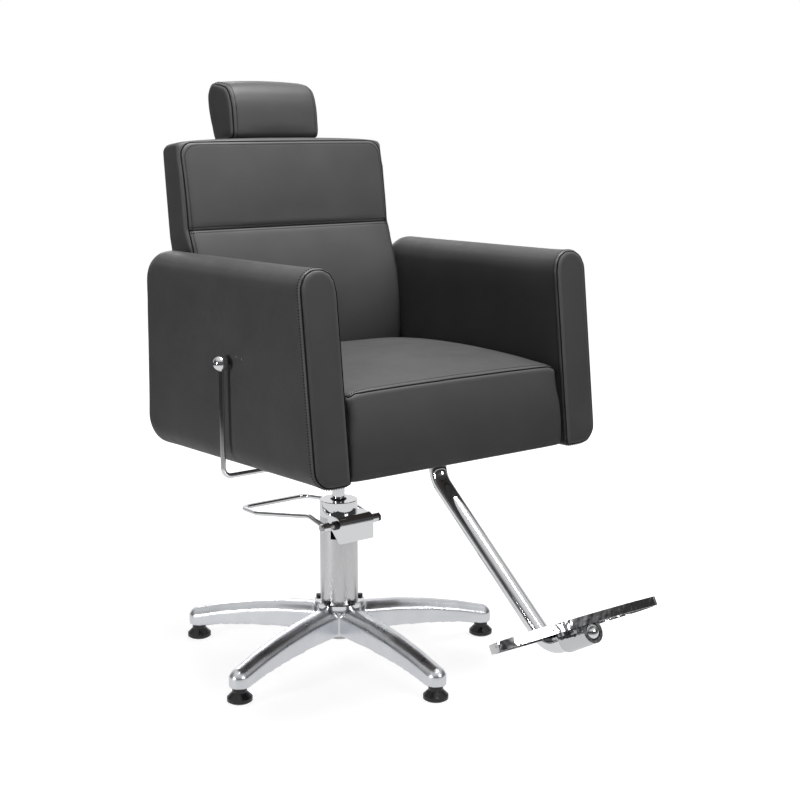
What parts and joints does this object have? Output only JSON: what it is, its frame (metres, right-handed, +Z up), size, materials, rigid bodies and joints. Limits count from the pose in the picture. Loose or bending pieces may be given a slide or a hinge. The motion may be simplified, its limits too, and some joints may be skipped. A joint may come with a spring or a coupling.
{
  "type": "threading chair",
  "caption": "Reclining upholstered salon chair with box arms, sliding headrest, footrest and side lever on a foot pumped column with a star base.",
  "frame": {"origin": "on the floor under the axis of the pump column", "axes": "+Z up, -Y towards the front where the sitter faces, -X towards the sitter's right arm, which carries the recline lever"},
  "size_m": [0.672, 1.0283, 1.1379],
  "materials": {
    "aluminium_cast": "polished",
    "glide_black": "glossy",
    "zinc_steel": "zinc plated",
    "satin_steel": "satin",
    "chrome": "bright",
    "black_oxide": "satin black",
    "bronze": "machined",
    "seal_rubber": "matte",
    "plywood": "bare",
    "upholstery": "matte"
  },
  "bodies": {
    "base": {"star_base": "aluminium_cast", "glides": "glide_black", "glide_studs": "zinc_steel", "pump_column": "satin_steel", "column_flange": "chrome", "flange_bolts": "black_oxide", "pump_head": "chrome", "rod_bush": "bronze", "wiper_seal": "seal_rubber", "pump_cylinder": "zinc_steel", "pedal_bracket": "chrome", "plunger_barrel": "zinc_steel"},
    "pedal": {"pedal_bail": "chrome", "pedal_shaft": "zinc_steel", "shaft_fittings": "black_oxide", "pump_cam": "zinc_steel"},
    "plunger": {"pump_plunger": "zinc_steel"},
    "lift": {"piston_rod": "chrome", "piston": "zinc_steel", "piston_seal": "seal_rubber"},
    "seat": {"swivel_socket": "black_oxide", "mounting_plate": "black_oxide", "plate_bolts": "zinc_steel", "seat_base_board": "plywood", "seat_rails": "plywood", "seat_top_board": "plywood", "seat_cushion": "upholstery", "right_arm_rest": "upholstery", "left_arm_rest": "upholstery", "arm_boards": "plywood", "arm_bolts": "zinc_steel", "hinge_brackets": "black_oxide", "hinge_pins": "zinc_steel", "hinge_washers": "zinc_steel", "gas_spring_cylinder": "black_oxide", "spring_mount": "black_oxide", "lever_hangers": "black_oxide", "footrest_tube": "chrome", "footrest_flange": "black_oxide", "footrest_bolts": "zinc_steel", "footrest_tread": "chrome", "tread_screws": "zinc_steel", "footrest_cap": "chrome"},
    "backrest": {"hinge_plates": "black_oxide", "hinge_tube": "black_oxide", "back_frame": "black_oxide", "back_cushion": "upholstery", "back_rear_panel": "upholstery", "headrest_guide": "black_oxide", "spring_lugs": "black_oxide", "lug_pin": "zinc_steel"},
    "gas_rod": {"gas_spring_rod": "chrome", "spring_end_eye": "zinc_steel"},
    "headrest": {"headrest_pad": "upholstery", "headrest_board": "plywood", "headrest_post": "chrome"},
    "recline_lever": {"lever_rod": "chrome", "lever_knob": "chrome", "release_finger": "zinc_steel"},
    "release": {"release_pin": "zinc_steel"}
  },
  "joints": [
    {"name": "lift_slide", "type": "slide", "parent": "base", "child": "lift", "axis": [0, 0, 1], "range_m": [-0.1, 0.05]},
    {"name": "seat_swivel", "type": "hinge", "parent": "lift", "child": "seat", "pos_m": [0, 0, 0.45], "axis": [0, 0, 1], "continuous": true},
    {"name": "back_recline", "type": "hinge", "parent": "seat", "child": "backrest", "pos_m": [0, 0.15, 0.55], "axis": [-1, 0, 0], "range_deg": [0, 45]},
    {"name": "gas_rod_slide", "type": "slide", "parent": "seat", "child": "gas_rod", "axis": [0, -1, 0], "range_m": [0, 0.0422]},
    {"name": "headrest_slide", "type": "slide", "parent": "backrest", "child": "headrest", "axis": [0, 0.108, 0.9942], "range_m": [0, 0.09]},
    {"name": "lever_turn", "type": "hinge", "parent": "seat", "child": "recline_lever", "pos_m": [0, -0.13, 0.443], "axis": [-1, 0, 0], "range_deg": [0, 8], "stiffness_Nm_per_rad": 3, "springref_deg": -14.32},
    {"name": "release_slide", "type": "slide", "parent": "seat", "child": "release", "axis": [0, 1, 0], "range_m": [0, 0.0082]},
    {"name": "pedal_press", "type": "hinge", "parent": "base", "child": "pedal", "pos_m": [0, -0.047, 0.283], "axis": [-1, 0, 0], "range_deg": [0, 20], "stiffness_Nm_per_rad": 4, "springref_deg": -34.38},
    {"name": "plunger_slide", "type": "slide", "parent": "base", "child": "plunger", "axis": [0, 0, -1], "range_m": [0, 0.0064]}
  ],
  "couplings": [
    {"joint": "gas_rod_slide", "follows": "back_recline", "m_per_rad": 0.0536},
    {"joint": "release_slide", "follows": "lever_turn", "m_per_rad": 0.0575},
    {"joint": "plunger_slide", "follows": "pedal_press", "m_per_rad": 0.018}
  ]
}
